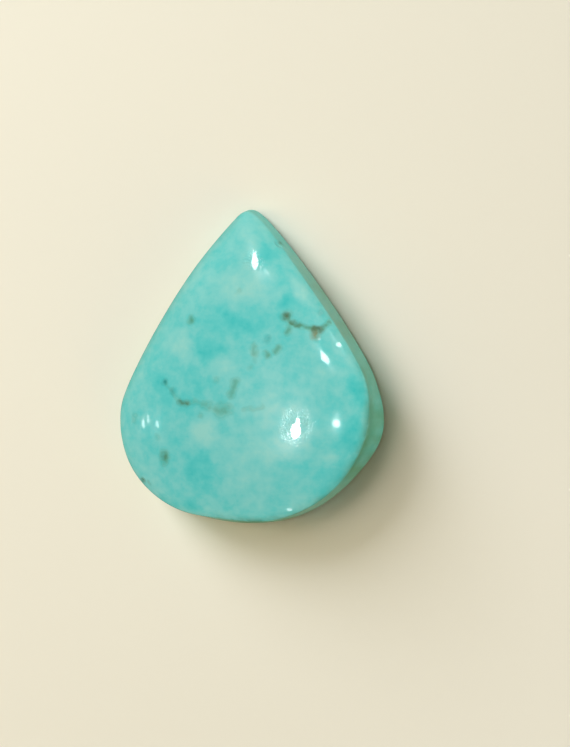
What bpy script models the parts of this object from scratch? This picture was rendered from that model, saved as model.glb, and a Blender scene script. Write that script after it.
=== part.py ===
"""A polished pear-shaped turquoise cabochon, as one closed stone.

The stone has a flat ground base with a small bevel, a wall that leans in a little and flares
out at the right of its belly, a girdle that dips towards the tip, and a low domed top. Small
hollows in the dome and along the girdle are its matrix pockets and rim chips.

Frame: metres, origin at the middle of the base's box, +Y to the tip, +Z up out of the dome.
Directions round the stone are angles from +X towards +Y.
"""
import math

import bmesh
import bpy
import numpy as np

MM = 0.001
STONE_NAME = "turquoise_stone"
COLLECTION_NAME = "turquoise_cabochon"
CUTTER_COLLECTION_NAME = "hollow_cutters"

# Overall sizes
LENGTH = 22.0 * MM               # from the tip to the round end, at the foot
HEIGHT = 5.6 * MM                # from the base to the crest of the dome

# Wall, from the base up to the girdle
GIRDLE_HEIGHT = 2.8 * MM
GIRDLE_TIP_DIP = 1.2 * MM        # how much lower the girdle runs at the tip
GIRDLE_DIP_REACH = 3.0 * MM      # how far from the tip that dip fades
BASE_BEVEL = 0.2 * MM
FOOT_MARGIN = 0.17 * MM          # how far the foot stands out from the girdle


def degrees_to_radians(depth, direction, spread):
    """A lobe's numbers, with its two angles in radians."""
    return depth, math.radians(direction), math.radians(spread)


# Girdle outline, as its radius of bend for each direction that the edge faces: the nose's
# radius, a broad belly, and lobes where the edge runs straighter (amount, direction, spread)
NOSE_BEND = 1.83 * MM
BELLY_BEND = degrees_to_radians(5.9 * MM, -58.0, 96.0)
STRAIGHTER = (
    degrees_to_radians(64.0 * MM, 36.7, 6.0),       # right flank
    degrees_to_radians(60.5 * MM, 148.5, 7.75),     # left flank
    degrees_to_radians(4.2 * MM, -93.0, 13.0),      # round end
    degrees_to_radians(4.7 * MM, -174.5, 19.0),     # left of the belly
)

# Departures from an even wall (depth, direction, spread)
FOOT_FLARE = degrees_to_radians(0.53 * MM, -12.8, 18.6)
GIRDLE_WEAR = degrees_to_radians(0.22 * MM, -96.0, 11.0)

# Dome: an arc of an ellipse, cut off short of upright, over levels that round off upwards
DOME_CUT = math.radians(78.0)
CREST = (0.2 * MM, -1.6 * MM)
ROUNDING = 0.35                  # how fast the outline's finer bends fade towards the crest
WAVE_DEPTH = 0.04 * MM           # unevenness left by polishing by hand
WAVE_LENGTHS = (9.0 * MM, 7.0 * MM)
WAVE_STARTS = (0.6, 1.1)

# Hollows: direction from the crest in degrees, reach from crest to girdle, radius, depth
HOLLOWS = (
    (61.0, 0.69, 0.30 * MM, 0.12 * MM),      # dark pit at the end of the vein
    (39.5, 0.81, 0.42 * MM, 0.12 * MM),      # tan pocket by the right flank
    (-139.0, 0.74, 0.26 * MM, 0.09 * MM),    # pit low on the left
    (80.0, 0.985, 0.32 * MM, 0.14 * MM),     # rim chip near the tip
    (-139.5, 0.985, 0.34 * MM, 0.14 * MM),   # rim chip low on the left
)

# Mesh
OUTLINE_SAMPLES = 1440
STEPS_ROUND = 112
TURNING_SHARE = 0.2              # how much the points crowd where the edge turns
WALL_RINGS = 4
DOME_RINGS = 15
CUTTER_SUBDIVISIONS = 3

TURQUOISE = (0.165, 0.560, 0.515, 1.0)
POLISH_ROUGHNESS = 0.14


def clear_scene():
    """Empty the scene, so that it holds this stone alone."""
    for old in list(bpy.data.objects):
        bpy.data.objects.remove(old, do_unlink=True)


def new_collection(name):
    """A collection linked to the scene."""
    collection = bpy.data.collections.new(name)
    bpy.context.scene.collection.children.link(collection)
    return collection


def turquoise_material():
    """Polished turquoise."""
    material = bpy.data.materials.new("polished_turquoise")
    material.use_nodes = True
    shader = material.node_tree.nodes["Principled BSDF"]
    shader.inputs["Base Color"].default_value = TURQUOISE
    shader.inputs["Roughness"].default_value = POLISH_ROUGHNESS
    shader.inputs["Metallic"].default_value = 0.0
    return material


def lobe(facing, depth, direction, spread, power=2):
    """A bell of the given depth round one direction; a higher power gives it a flatter top."""
    away = np.abs(np.angle(np.exp(1j * (facing - direction))))
    return depth * np.exp(-((away / spread) ** power))


def bend_radius(facing):
    """The outline's radius of bend for each direction faced, with the turn that closes it."""
    bend = NOSE_BEND + lobe(facing, *BELLY_BEND, power=4)
    bend = bend + sum(lobe(facing, *straighter) for straighter in STRAIGHTER)
    drift = 2 * np.mean(bend * np.cos(facing)), 2 * np.mean(bend * np.sin(facing))
    return bend - drift[0] * np.cos(facing) - drift[1] * np.sin(facing)


def girdle_outline(count):
    """Walk round the girdle with its bend radius, and space the points by length and turning.

    Returns the points, one column each, and the direction that each one faces.
    """
    facing = np.linspace(-math.pi, math.pi, OUTLINE_SAMPLES + 1)
    stride = facing[1] - facing[0]
    bend = bend_radius(facing[:-1])
    walk = np.concatenate(([0], np.cumsum(bend * np.exp(1j * (facing[:-1] + stride / 2)) * 1j)))
    walk = walk - ((walk.real.max() + walk.real.min()) + 1j * (walk.imag.max() + walk.imag.min())) / 2
    walk = walk * (LENGTH - 2 * FOOT_MARGIN) / np.ptp(walk.imag)

    travelled = np.concatenate(([0], np.cumsum(np.abs(np.diff(walk)))))
    turned = (facing + math.pi) / (2 * math.pi)
    spacing = (1 - TURNING_SHARE) * travelled / travelled[-1] + TURNING_SHARE * turned
    chosen = np.interp(np.arange(count) / count, spacing, facing)
    points = np.stack((np.interp(chosen, facing, walk.real), np.interp(chosen, facing, walk.imag)))
    return points, chosen


def wall_outlines(count):
    """Plan outlines of the base, the foot and the girdle, centred on the foot's box."""
    points, facing = girdle_outline(count)
    outwards = np.stack((np.cos(facing), np.sin(facing)))
    foot = points + (FOOT_MARGIN + lobe(facing, *FOOT_FLARE)) * outwards
    base = foot - BASE_BEVEL * outwards
    girdle = points - lobe(facing, *GIRDLE_WEAR) * outwards
    middle = (foot.max(axis=1) + foot.min(axis=1))[:, None] / 2
    return base - middle, foot - middle, girdle - middle


def girdle_heights(girdle):
    """The girdle's height round the stone, lower near the tip."""
    from_tip = LENGTH / 2 - FOOT_MARGIN - girdle[1]
    return GIRDLE_HEIGHT - GIRDLE_TIP_DIP * np.exp(-((from_tip / GIRDLE_DIP_REACH) ** 2))


def faded(values, bearing, reach):
    """Fade the bends of values given round the crest: order k keeps reach**(ROUNDING * k)."""
    even = np.linspace(-math.pi, math.pi, OUTLINE_SAMPLES, endpoint=False)
    orders = np.fft.rfft(np.interp(even, bearing, values, period=2 * math.pi))
    orders = orders * reach ** (ROUNDING * np.arange(len(orders)))
    return np.interp(bearing, even, np.fft.irfft(orders, OUTLINE_SAMPLES), period=2 * math.pi)


def dome_level(girdle, reach):
    """One level of the dome: reach is 1 at the girdle and 0 at the crest.

    In plan it is the girdle drawn in towards the crest and rounded off. Its rise follows an arc
    of an ellipse, and shallow waves lie over it.
    """
    arm = (girdle[0] - CREST[0]) + 1j * (girdle[1] - CREST[1])
    bearing = np.angle(arm)
    plan = reach * faded(np.abs(arm), bearing, reach) * np.exp(1j * bearing) + complex(*CREST)
    edge = faded(girdle_heights(girdle), bearing, reach)
    slope = math.asin(reach * math.sin(DOME_CUT))
    rise = (math.cos(slope) - math.cos(DOME_CUT)) / (1 - math.cos(DOME_CUT))
    waves = np.sin(2 * math.pi * plan.real / WAVE_LENGTHS[0] + WAVE_STARTS[0])
    waves = waves * np.sin(2 * math.pi * plan.imag / WAVE_LENGTHS[1] + WAVE_STARTS[1])
    height = edge + (HEIGHT - edge) * rise + WAVE_DEPTH * waves * reach**2 * (1 - reach**4)
    return np.stack((plan.real, plan.imag, height), axis=1)


def stone_rings():
    """All rings of the stone, from the base's edge up to the last one below the crest."""
    base, foot, girdle = wall_outlines(STEPS_ROUND)
    heights = girdle_heights(girdle)
    rings = [np.stack((base[0], base[1], np.zeros(STEPS_ROUND)), axis=1)]
    for share in np.linspace(0.0, 1.0, WALL_RINGS, endpoint=False):
        plan = (1 - share) * foot + share * girdle
        level = BASE_BEVEL + share * (heights - BASE_BEVEL)
        rings.append(np.stack((plan[0], plan[1], level), axis=1))
    for ring in range(DOME_RINGS):
        rings.append(dome_level(girdle, math.cos(ring / DOME_RINGS * math.pi / 2)))
    return rings


def loft_stone(collection, material):
    """Join the rings into one closed skin, with a point at the crest and one under the base."""
    rings = stone_rings()
    shape = bmesh.new()
    loops = [[shape.verts.new(point) for point in ring] for ring in rings]
    crest = shape.verts.new(dome_level(wall_outlines(STEPS_ROUND)[2], 0.0)[0])
    under = shape.verts.new((CREST[0], CREST[1], 0.0))
    for here in range(STEPS_ROUND):
        after = (here + 1) % STEPS_ROUND
        for lower, upper in zip(loops, loops[1:]):
            shape.faces.new((lower[here], lower[after], upper[after], upper[here]))
        shape.faces.new((loops[-1][here], loops[-1][after], crest))
        shape.faces.new((loops[0][after], loops[0][here], under))
    mesh = bpy.data.meshes.new(STONE_NAME)
    shape.to_mesh(mesh)
    shape.free()
    mesh.materials.append(material)
    mesh.shade_smooth()
    stone = bpy.data.objects.new(STONE_NAME, mesh)
    collection.objects.link(stone)
    return stone


def dome_place(direction, reach):
    """The point of the dome at a direction from the crest and a reach, and its outward normal."""
    _, _, girdle = wall_outlines(OUTLINE_SAMPLES)
    bearing = np.arctan2(girdle[1] - CREST[1], girdle[0] - CREST[0])
    nearest = np.argmin(np.abs(np.angle(np.exp(1j * (bearing - math.radians(direction))))))
    here, after = dome_level(girdle, reach)[[nearest - 1, nearest]]
    inner = dome_level(girdle, reach * 0.99)[nearest - 1]
    normal = np.cross(after - here, inner - here)
    return here, normal / np.linalg.norm(normal)


def cut_hollow(stone, collection, index, hollow):
    """Sink a ball into the dome, so that it leaves a hollow of the given radius and depth."""
    direction, reach, radius, depth = hollow
    ball_radius = (radius**2 + depth**2) / (2 * depth)
    point, normal = dome_place(direction, reach)
    shape = bmesh.new()
    bmesh.ops.create_icosphere(shape, subdivisions=CUTTER_SUBDIVISIONS, radius=ball_radius)
    mesh = bpy.data.meshes.new(f"hollow_cutter_{index}")
    shape.to_mesh(mesh)
    shape.free()
    cutter = bpy.data.objects.new(mesh.name, mesh)
    cutter.location = point + normal * (ball_radius - depth)
    cutter.hide_render = True
    cutter.display_type = "WIRE"
    collection.objects.link(cutter)
    cut = stone.modifiers.new(cutter.name, "BOOLEAN")
    cut.operation = "DIFFERENCE"
    cut.solver = "EXACT"
    cut.object = cutter


def main():
    """Build the stone and cut its hollows."""
    clear_scene()
    collection = new_collection(COLLECTION_NAME)
    cutters = new_collection(CUTTER_COLLECTION_NAME)
    stone = loft_stone(collection, turquoise_material())
    for index, hollow in enumerate(HOLLOWS):
        cut_hollow(stone, cutters, index, hollow)


main()
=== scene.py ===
"""Looks of a polished pear-shaped turquoise cabochon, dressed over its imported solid.

The stone is one closed surface: a ground base with a small bevel, a wall that flares out at
the right of the belly, a girdle that dips towards the tip, and a low domed top. It is drawn
from the same outline and dome formulas as the solid, on a much finer grid, with its matrix
pits, grooves and rim chips sunk into it.

Sizes are in millimetres and angles in degrees, unless a name says otherwise. The stone's
length and height come from the frame. Directions round the stone run from +X towards +Y.
Plan places are complex numbers, x + iy.
"""
from __future__ import annotations

import logging
import math
from dataclasses import dataclass, field
from enum import Enum
from functools import reduce

import bpy
import numpy as np
from mathutils import Matrix, Vector

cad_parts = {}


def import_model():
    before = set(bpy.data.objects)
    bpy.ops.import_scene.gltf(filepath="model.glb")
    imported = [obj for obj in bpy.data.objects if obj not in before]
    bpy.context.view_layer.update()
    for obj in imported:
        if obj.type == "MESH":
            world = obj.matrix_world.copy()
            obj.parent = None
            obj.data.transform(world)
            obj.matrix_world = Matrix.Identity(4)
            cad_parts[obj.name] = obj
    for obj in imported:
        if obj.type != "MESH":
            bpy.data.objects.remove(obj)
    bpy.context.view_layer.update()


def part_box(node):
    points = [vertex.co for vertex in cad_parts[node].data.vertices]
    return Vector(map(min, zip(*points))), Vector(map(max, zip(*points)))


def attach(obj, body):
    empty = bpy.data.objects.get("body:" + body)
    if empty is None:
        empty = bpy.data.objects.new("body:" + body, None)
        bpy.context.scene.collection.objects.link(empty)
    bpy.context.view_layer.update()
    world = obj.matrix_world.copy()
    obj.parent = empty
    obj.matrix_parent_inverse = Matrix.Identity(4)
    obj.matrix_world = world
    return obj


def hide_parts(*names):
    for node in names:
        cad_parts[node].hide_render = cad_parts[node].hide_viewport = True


MM = 0.001
STONE_NODE = "turquoise_stone"
FULL_TURN = 2 * math.pi
SPOT_SPAN = 1e-9
NOISE_MIDDLE = (0.5, 0.5, 0.5)

# the masks that the mesh carries, with each one's value at the middle of the base
MASKS: dict[str, float] = {"wall": 1.0, "base": 1.0, "rim": 0.0}

Socket = bpy.types.NodeSocket
Triple = tuple[float, float, float]
Colour = tuple[float, float, float, float]

log = logging.getLogger("cabochon")


def middle_of_box(places: np.ndarray) -> complex:
    """The middle of the box round some plan places."""
    return complex(places.real.max() + places.real.min(),
                   places.imag.max() + places.imag.min()) / 2


def fold_of(span: np.ndarray) -> float:
    """One over a span's length squared, and finite where the span is only a spot."""
    return float(1 / max(span @ span, SPOT_SPAN))


def direction(heading: float, elevation: float) -> np.ndarray:
    """The unit vector at a heading and an elevation."""
    turn, rise = math.radians(heading), math.radians(elevation)
    return np.array([math.cos(rise) * math.cos(turn), math.cos(rise) * math.sin(turn),
                     math.sin(rise)])


def frame_at(place: np.ndarray, *axes: np.ndarray) -> Matrix:
    """The matrix that stands at a place in millimetres and is turned to three axes."""
    turn = Matrix(np.stack(axes, axis=1).tolist()).to_4x4()
    return Matrix.Translation(Vector(place * MM)) @ turn


def put_in_scene(name: str, data: bpy.types.ID) -> bpy.types.Object:
    """Make an object and link it to the scene.

    Args:
        name: of the object.
        data: its mesh, lamp or camera.

    Returns:
        The object.
    """
    built = bpy.data.objects.new(name, data)
    bpy.context.scene.collection.objects.link(built)
    return built


# ---------------------------------------------------------------------------------------------
# Shape
# ---------------------------------------------------------------------------------------------


@dataclass(frozen=True)
class Lobe:
    """A bell-shaped change round one direction that the edge faces.

    Args:
        depth: height of the bell.
        direction: where it peaks.
        spread: how far from there it has fallen to a third.
        power: 2 for a plain bell, more for a flatter top.
    """

    depth: float
    direction: float
    spread: float
    power: int = 2

    def at(self, facing: np.ndarray) -> np.ndarray:
        """Depth times exp(-(angle from the peak / spread) ** power), for facings in radians."""
        away = np.abs(np.angle(np.exp(1j * (facing - math.radians(self.direction)))))
        return self.depth * np.exp(-((away / math.radians(self.spread)) ** self.power))


@dataclass(frozen=True)
class PearOutline:
    """Plan of the stone, from how sharply its edge bends in each direction that it faces.

    Bends are radii before the outline is scaled to its length.

    Args:
        length: from the tip to the round end, at the foot.
        nose_bend: radius of bend where nothing adds to it.
        belly_bend: what the belly adds.
        straighter: what the straighter stretches add.
        foot_margin: how far the foot stands out from the walked path.
        foot_flare: what the flare at the right of the belly adds to that.
        girdle_wear: how far the girdle is worn in from the path, at the round end.
        base_bevel: width and height of the bevel round the base.
        turning_share: how much of the points' spacing goes by turning, and not by distance.
        samples: steps in which the path is walked.
    """

    length: float
    nose_bend: float = 1.83
    belly_bend: Lobe = Lobe(5.9, -58.0, 96.0, power=4)
    straighter: tuple[Lobe, ...] = (
        Lobe(64.0, 36.7, 6.0),
        Lobe(60.5, 148.5, 7.75),
        Lobe(4.2, -93.0, 13.0),
        Lobe(4.7, -174.5, 19.0),
    )
    foot_margin: float = 0.17
    foot_flare: Lobe = Lobe(0.53, -12.8, 18.6)
    girdle_wear: Lobe = Lobe(0.22, -96.0, 11.0)
    base_bevel: float = 0.2
    turning_share: float = 0.2
    samples: int = 1440

    def bend_radius(self, facing: np.ndarray) -> np.ndarray:
        """Add up nose, belly and straighter lobes, less the drift.

        The drift is the part that goes round once, and without it the outline closes.

        Args:
            facing: directions in radians, evenly round.

        Returns:
            The radius of bend for each.
        """
        bend = self.nose_bend + self.belly_bend.at(facing)
        bend = bend + sum(lobe.at(facing) for lobe in self.straighter)
        drift = 2 * np.mean(bend * np.exp(1j * facing))
        return bend - drift.real * np.cos(facing) - drift.imag * np.sin(facing)

    def walk(self, count: int) -> tuple[np.ndarray, np.ndarray]:
        """Step round the girdle, adding up bend radius times turn, and space the points.

        Args:
            count: how many points to place.

        Returns:
            The places in plan, and the direction in radians that each one faces.
        """
        facing = np.linspace(-math.pi, math.pi, self.samples + 1)
        stride = facing[1] - facing[0]
        steps = self.bend_radius(facing[:-1]) * np.exp(1j * (facing[:-1] + stride / 2)) * 1j
        path = np.concatenate(([0], np.cumsum(steps)))
        path = path - middle_of_box(path)
        path = path * (self.length - 2 * self.foot_margin) / np.ptp(path.imag)

        travelled = np.concatenate(([0], np.cumsum(np.abs(np.diff(path)))))
        turned = (facing + math.pi) / FULL_TURN
        share = (1 - self.turning_share) * travelled / travelled[-1] + self.turning_share * turned
        chosen = np.interp(np.arange(count) / count, share, facing)
        place = np.interp(chosen, facing, path.real) + 1j * np.interp(chosen, facing, path.imag)
        return place, chosen

    def lines(self, count: int) -> tuple[np.ndarray, np.ndarray, np.ndarray, np.ndarray]:
        """Plan outlines of the base, foot and girdle, centred on the foot's box.

        Args:
            count: how many points each has.

        Returns:
            Base, foot and girdle places, and the facings in radians.
        """
        path, facing = self.walk(count)
        outwards = np.exp(1j * facing)
        foot = path + (self.foot_margin + self.foot_flare.at(facing)) * outwards
        base = foot - self.base_bevel * outwards
        girdle = path - self.girdle_wear.at(facing) * outwards
        middle = middle_of_box(foot)
        return base - middle, foot - middle, girdle - middle, facing


@dataclass(frozen=True)
class Dome:
    """The domed top, over a girdle that dips towards the tip.

    Args:
        outline: the stone's plan.
        height: from the base to the crest.
        girdle_height: of the girdle away from the tip.
        tip_dip: how much lower it is at the tip.
        dip_reach: how far from the tip the dip has fallen to a third.
        cut: where the ellipse's arc is cut off, from its top.
        crest: plan place of the highest point.
        rounding: how fast the girdle's bends fade towards the crest.
        wave_depth: height of the shallow waves.
        wave_lengths: of the waves across and along the stone.
        wave_starts: where they start, in radians.
    """

    outline: PearOutline
    height: float
    girdle_height: float = 2.8
    tip_dip: float = 1.2
    dip_reach: float = 3.0
    cut: float = 78.0
    crest: complex = 0.2 - 1.6j
    rounding: float = 0.35
    wave_depth: float = 0.04
    wave_lengths: tuple[float, float] = (9.0, 7.0)
    wave_starts: tuple[float, float] = (0.6, 1.1)

    def girdle_level(self, girdle: np.ndarray) -> np.ndarray:
        """The girdle's height: even, less a bell that is deepest at the tip."""
        from_tip = self.outline.length / 2 - self.outline.foot_margin - girdle.imag
        return self.girdle_height - self.tip_dip * np.exp(-((from_tip / self.dip_reach) ** 2))

    def faded(self, values: np.ndarray, bearing: np.ndarray, reach: np.ndarray) -> np.ndarray:
        """Fade the bends of values given round the crest: order k keeps reach ** (rounding k).

        Args:
            values: one for each bearing.
            bearing: angles in radians from the crest.
            reach: 1 at the girdle and 0 at the crest, one for each level.

        Returns:
            The faded values, a row for each level.
        """
        samples = self.outline.samples
        even = np.linspace(-math.pi, math.pi, samples, endpoint=False)
        orders = np.fft.rfft(np.interp(even, bearing, values, period=FULL_TURN))
        orders = orders * reach[:, None] ** (self.rounding * np.arange(orders.size))
        rows = np.fft.irfft(orders, samples)
        step = (bearing + math.pi) / FULL_TURN * samples
        before = np.floor(step).astype(int)
        share = step - before
        return rows[:, before % samples] * (1 - share) + rows[:, (before + 1) % samples] * share

    def surface(self, girdle: np.ndarray, reach: np.ndarray) -> np.ndarray:
        """The dome over two parameters, the place round the girdle and the reach.

        In plan a level is the girdle drawn in towards the crest and rounded off. Its rise
        follows an arc of an ellipse that is cut off short of upright. Shallow waves cross it,
        and die away at the crest and the girdle.

        Args:
            girdle: plan places round the girdle.
            reach: 1 at the girdle and 0 at the crest, one for each level.

        Returns:
            Points of shape (levels, places, 3).
        """
        arm = girdle - self.crest
        bearing = np.angle(arm)
        column = reach[:, None]
        drawn_in = column * self.faded(np.abs(arm), bearing, reach)
        plan = drawn_in * np.exp(1j * bearing) + self.crest
        edge = self.faded(self.girdle_level(girdle), bearing, reach)

        cut = math.radians(self.cut)
        rise = (np.cos(np.arcsin(column * math.sin(cut))) - math.cos(cut)) / (1 - math.cos(cut))
        waves = np.sin(FULL_TURN * plan.real / self.wave_lengths[0] + self.wave_starts[0])
        waves = waves * np.sin(FULL_TURN * plan.imag / self.wave_lengths[1] + self.wave_starts[1])
        waves = self.wave_depth * waves * column**2 * (1 - column**4)
        return np.stack((plan.real, plan.imag, edge + (self.height - edge) * rise + waves), axis=2)

    def rings(self, girdle: np.ndarray, count: int) -> np.ndarray:
        """The dome from the girdle to just short of the crest, in even steps of its arc."""
        slope = np.linspace(math.radians(self.cut), 0, count, endpoint=False)
        return self.surface(girdle, np.sin(slope) / math.sin(math.radians(self.cut)))


@dataclass(frozen=True)
class Hollow:
    """A pit sunk into the dome at a place, or a groove through several.

    Args:
        path: places in plan.
        radius: from its middle to its lip.
        depth: at its middle.
    """

    path: tuple[complex, ...]
    radius: float
    depth: float


@dataclass(frozen=True)
class Grid:
    """How finely the stone is drawn, and how far things reach, counted in rings.

    Args:
        around: steps round the stone.
        base_rings: rings of the base.
        bevel_rings: rings of the bevel.
        wall_rings: rings of the wall.
        dome_rings: rings of the dome.
        base_hub: size of the base's inmost ring, against its edge.
        edge_softening: how often the edges are smoothed.
        girdle_wear_rings: how far the wear reaches at the girdle.
        foot_wear_rings: how far it reaches at the foot.
        rim_shade_rings: how far the painted shade along the girdle reaches.
        wall_fade_rings: rings over which the wall's mask fades, half of them on the dome.
        base_fade_rings: rings over which the base's mask fades.
    """

    around: int = 504
    base_rings: int = 9
    bevel_rings: int = 5
    wall_rings: int = 44
    dome_rings: int = 130
    base_hub: float = 0.1
    edge_softening: int = 14
    girdle_wear_rings: float = 16.0
    foot_wear_rings: float = 5.0
    rim_shade_rings: float = 12.0
    wall_fade_rings: int = 6
    base_fade_rings: int = 3

    @property
    def dome_start(self) -> int:
        """The ring where the dome starts."""
        return self.base_rings + self.bevel_rings + self.wall_rings


@dataclass
class Skin:
    """The stone's surface as arrays.

    Args:
        points: of shape (rings, places, 3), from the base's hub to just below the crest.
        wall: 1 on the wall and base, 0 on the dome.
        base: 1 on the base, 0 elsewhere.
        rim: 1 along the girdle where painted shade darkens it, 0 elsewhere.
        crest: the point that closes the top.
        under: the point that closes the base.
        dome_start: the ring where the dome starts.
    """

    points: np.ndarray
    wall: np.ndarray
    base: np.ndarray
    rim: np.ndarray
    crest: np.ndarray
    under: np.ndarray
    dome_start: int

    def normals(self) -> np.ndarray:
        """Take the cross product of the steps round and up the grid.

        Returns:
            Unit normals that point outwards, in the shape of the points.
        """
        along = np.roll(self.points, -1, axis=1) - np.roll(self.points, 1, axis=1)
        upward = np.gradient(self.points, axis=0)
        normal = np.cross(along, upward)
        return normal / np.linalg.norm(normal, axis=2, keepdims=True)

    def dome_spot(self, place: complex, neighbours: int = 60) -> tuple[np.ndarray, np.ndarray]:
        """The dome above a plan place, from a quadratic fitted through its nearest points.

        Args:
            place: in plan.
            neighbours: how many points to fit.

        Returns:
            The point on the dome, and its outward normal.
        """
        dome = self.points[self.dome_start:].reshape(-1, 3)
        across, along = dome[:, 0] - place.real, dome[:, 1] - place.imag
        near = np.argpartition(np.hypot(across, along), neighbours)[:neighbours]
        across, along = across[near], along[near]
        terms = np.stack((np.ones(neighbours), across, along, across**2, across * along,
                          along**2), axis=1)
        fitted = np.linalg.lstsq(terms, dome[near, 2], rcond=None)[0]
        normal = np.array([-fitted[1], -fitted[2], 1.0])
        return (np.array([place.real, place.imag, fitted[0]]),
                normal / np.linalg.norm(normal))


@dataclass
class Cabochon:
    """The whole stone: its sizes, its mesh and its finish.

    Args:
        length: from the tip to the round end.
        height: from the base to the crest.
        grid: how finely it is drawn.
        name: of its object.
        rim_shade_lines: where painted shade darkens the girdle, on the sides away from the light,
            and how much.
        clear_walls: where the wall has less of its film of matrix and painted shade, and how much
            less.
        hollows: its matrix pits, its grooves and its rim chips.
    """

    length: float
    height: float
    grid: Grid = Grid()
    name: str = "polished_stone"
    # painted shade along the girdle: right, lower right and bottom, the sides away from the light
    rim_shade_lines: tuple[Lobe, ...] = (
        Lobe(0.8, -5.0, 40.0, power=4),
        Lobe(0.6, -60.0, 12.0, power=4),
        Lobe(1.0, -84.0, 17.0, power=4),
    )
    clear_walls: tuple[Lobe, ...] = (
        Lobe(0.85, -110.0, 14.0, power=4),
        Lobe(0.5, -56.0, 14.0, power=4),
        Lobe(0.45, 22.0, 24.0, power=4),
    )
    hollows: tuple[Hollow, ...] = (
        Hollow((3.18 + 3.68j,), 0.34, 0.10),
        Hollow((3.45 + 3.22j, 3.72 + 3.11j, 4.09 + 3.03j, 4.90 + 2.77j), 0.20, 0.05),
        Hollow((5.12 + 2.65j, 5.14 + 2.30j), 0.40, 0.12),
        Hollow((5.52 + 2.90j, 5.88 + 3.30j), 0.20, 0.05),
        Hollow((-4.04 - 2.47j, -3.64 - 2.48j), 0.22, 0.05),
        Hollow((-5.32 - 6.08j, -5.39 - 6.46j), 0.32, 0.07),
        Hollow((1.96 + 8.60j,), 0.34, 0.12),
        Hollow((-7.25 - 8.00j,), 0.26, 0.08),
    )
    outline: PearOutline = field(init=False)
    dome: Dome = field(init=False)
    skin: Skin = field(init=False)

    def __post_init__(self) -> None:
        """Set up the outline and the dome, and work out the skin."""
        self.outline = PearOutline(self.length)
        self.dome = Dome(self.outline, self.height)
        self.skin = self.make_skin()

    def make_skin(self) -> Skin:
        """Stack the rings, soften the edges, work out the masks and sink the hollows.

        Returns:
            The finished skin.
        """
        base, foot, girdle, facing = self.outline.lines(self.grid.around)
        dome = self.dome.rings(girdle, self.grid.dome_rings)
        points = self.softened(np.concatenate((*self.lower_bands(base, foot, girdle), dome)))
        crest = self.dome.surface(girdle, np.zeros(1))[0, 0]
        under = np.array([self.dome.crest.real, self.dome.crest.imag, 0.0])
        skin = Skin(points, *self.masks(facing), crest, under, self.grid.dome_start)
        return self.with_hollows(skin)

    def lower_bands(self, base: np.ndarray, foot: np.ndarray,
                    girdle: np.ndarray) -> list[np.ndarray]:
        """Draw the base, bevel and wall, each straight across from edge to edge.

        Args:
            base: plan places round the base's edge.
            foot: plan places round the foot.
            girdle: plan places round the girdle.

        Returns:
            The points of each band, of shape (rings, places, 3).
        """
        hub = self.dome.crest + self.grid.base_hub * (base - self.dome.crest)
        bevel = self.outline.base_bevel
        girdle_level = self.dome.girdle_level(girdle)
        edges = (
            (hub, base, 0.0, 0.0, self.grid.base_rings),
            (base, foot, 0.0, bevel, self.grid.bevel_rings),
            (foot, girdle, bevel, girdle_level, self.grid.wall_rings),
        )
        bands = []
        for start, end, low, high, rings in edges:
            share = np.linspace(0, 1, rings, endpoint=False)[:, None]
            plan = (1 - share) * start + share * end
            rise = np.broadcast_to(low + share * (high - low), plan.shape)
            bands.append(np.stack((plan.real, plan.imag, rise), axis=2))
        return bands

    def masks(self, facing: np.ndarray) -> tuple[np.ndarray, np.ndarray, np.ndarray]:
        """Work out the masks: a share that goes by the ring times one that goes by the facing.

        Args:
            facing: the directions in radians that the places face.

        Returns:
            The wall's, the base's and the rim's mask, of shape (rings, places).
        """
        grid = self.grid
        ring = np.arange(grid.dome_start + grid.dome_rings)[:, None]
        last_wall, last_base = grid.dome_start - 1, grid.base_rings - 1
        wall_end = grid.dome_start + grid.wall_fade_rings / 2
        wall = np.clip((wall_end - ring) / grid.wall_fade_rings, 0, 1)
        wall = wall * (1 - sum(part.at(facing) for part in self.clear_walls))
        base_end = last_base + grid.base_fade_rings
        base = np.clip((base_end - ring) / grid.base_fade_rings, 0, 1) * np.ones(facing.size)
        # painted shade along the girdle, by ring and by facing
        rim = np.exp(-(((ring - last_wall) / grid.rim_shade_rings) ** 2))
        rim = rim * np.clip(sum(line.at(facing) for line in self.rim_shade_lines), 0, 1)
        return wall, base, rim

    def softened(self, points: np.ndarray) -> np.ndarray:
        """Round off the girdle and the foot, as tumbling wears them.

        Each ring becomes a mean of itself and its neighbours, over and over. The result is
        kept in full at the two edges, and gives way to the rings as they were along a bell
        with a flat top.

        Args:
            points: the stacked rings.

        Returns:
            The rings, with the base and the inner dome as they were.
        """
        grid = self.grid
        worn = points.copy()
        for _ in range(grid.edge_softening):
            worn[1:-1] = worn[1:-1] / 2 + (worn[:-2] + worn[2:]) / 4
        ring = np.arange(len(points))[:, None, None]
        foot_ring = grid.base_rings + grid.bevel_rings / 2
        share = np.exp(-(((ring - grid.dome_start) / grid.girdle_wear_rings) ** 4))
        share = share + np.exp(-(((ring - foot_ring) / grid.foot_wear_rings) ** 4))
        return points + share * (worn - points)

    def with_hollows(self, skin: Skin) -> Skin:
        """Sink each hollow along the normal: by its depth times one less the distance squared.

        Args:
            skin: the stone's surface.

        Returns:
            The same skin, with its points moved.
        """
        inwards = -skin.normals()
        for hollow in self.hollows:
            spots = [skin.dome_spot(place)[0] for place in hollow.path]
            gap = np.full(skin.points.shape[:2], np.inf)
            for start, end in zip(spots, spots[1:] or spots):
                span = end - start
                share = np.clip((skin.points - start) @ span * fold_of(span), 0, 1)
                nearest = start + share[..., None] * span
                gap = np.minimum(gap, np.linalg.norm(skin.points - nearest, axis=2))
            depth = hollow.depth * np.clip(1 - (gap / hollow.radius) ** 2, 0, None)
            skin.points = skin.points + depth[..., None] * inwards
        return skin

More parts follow.
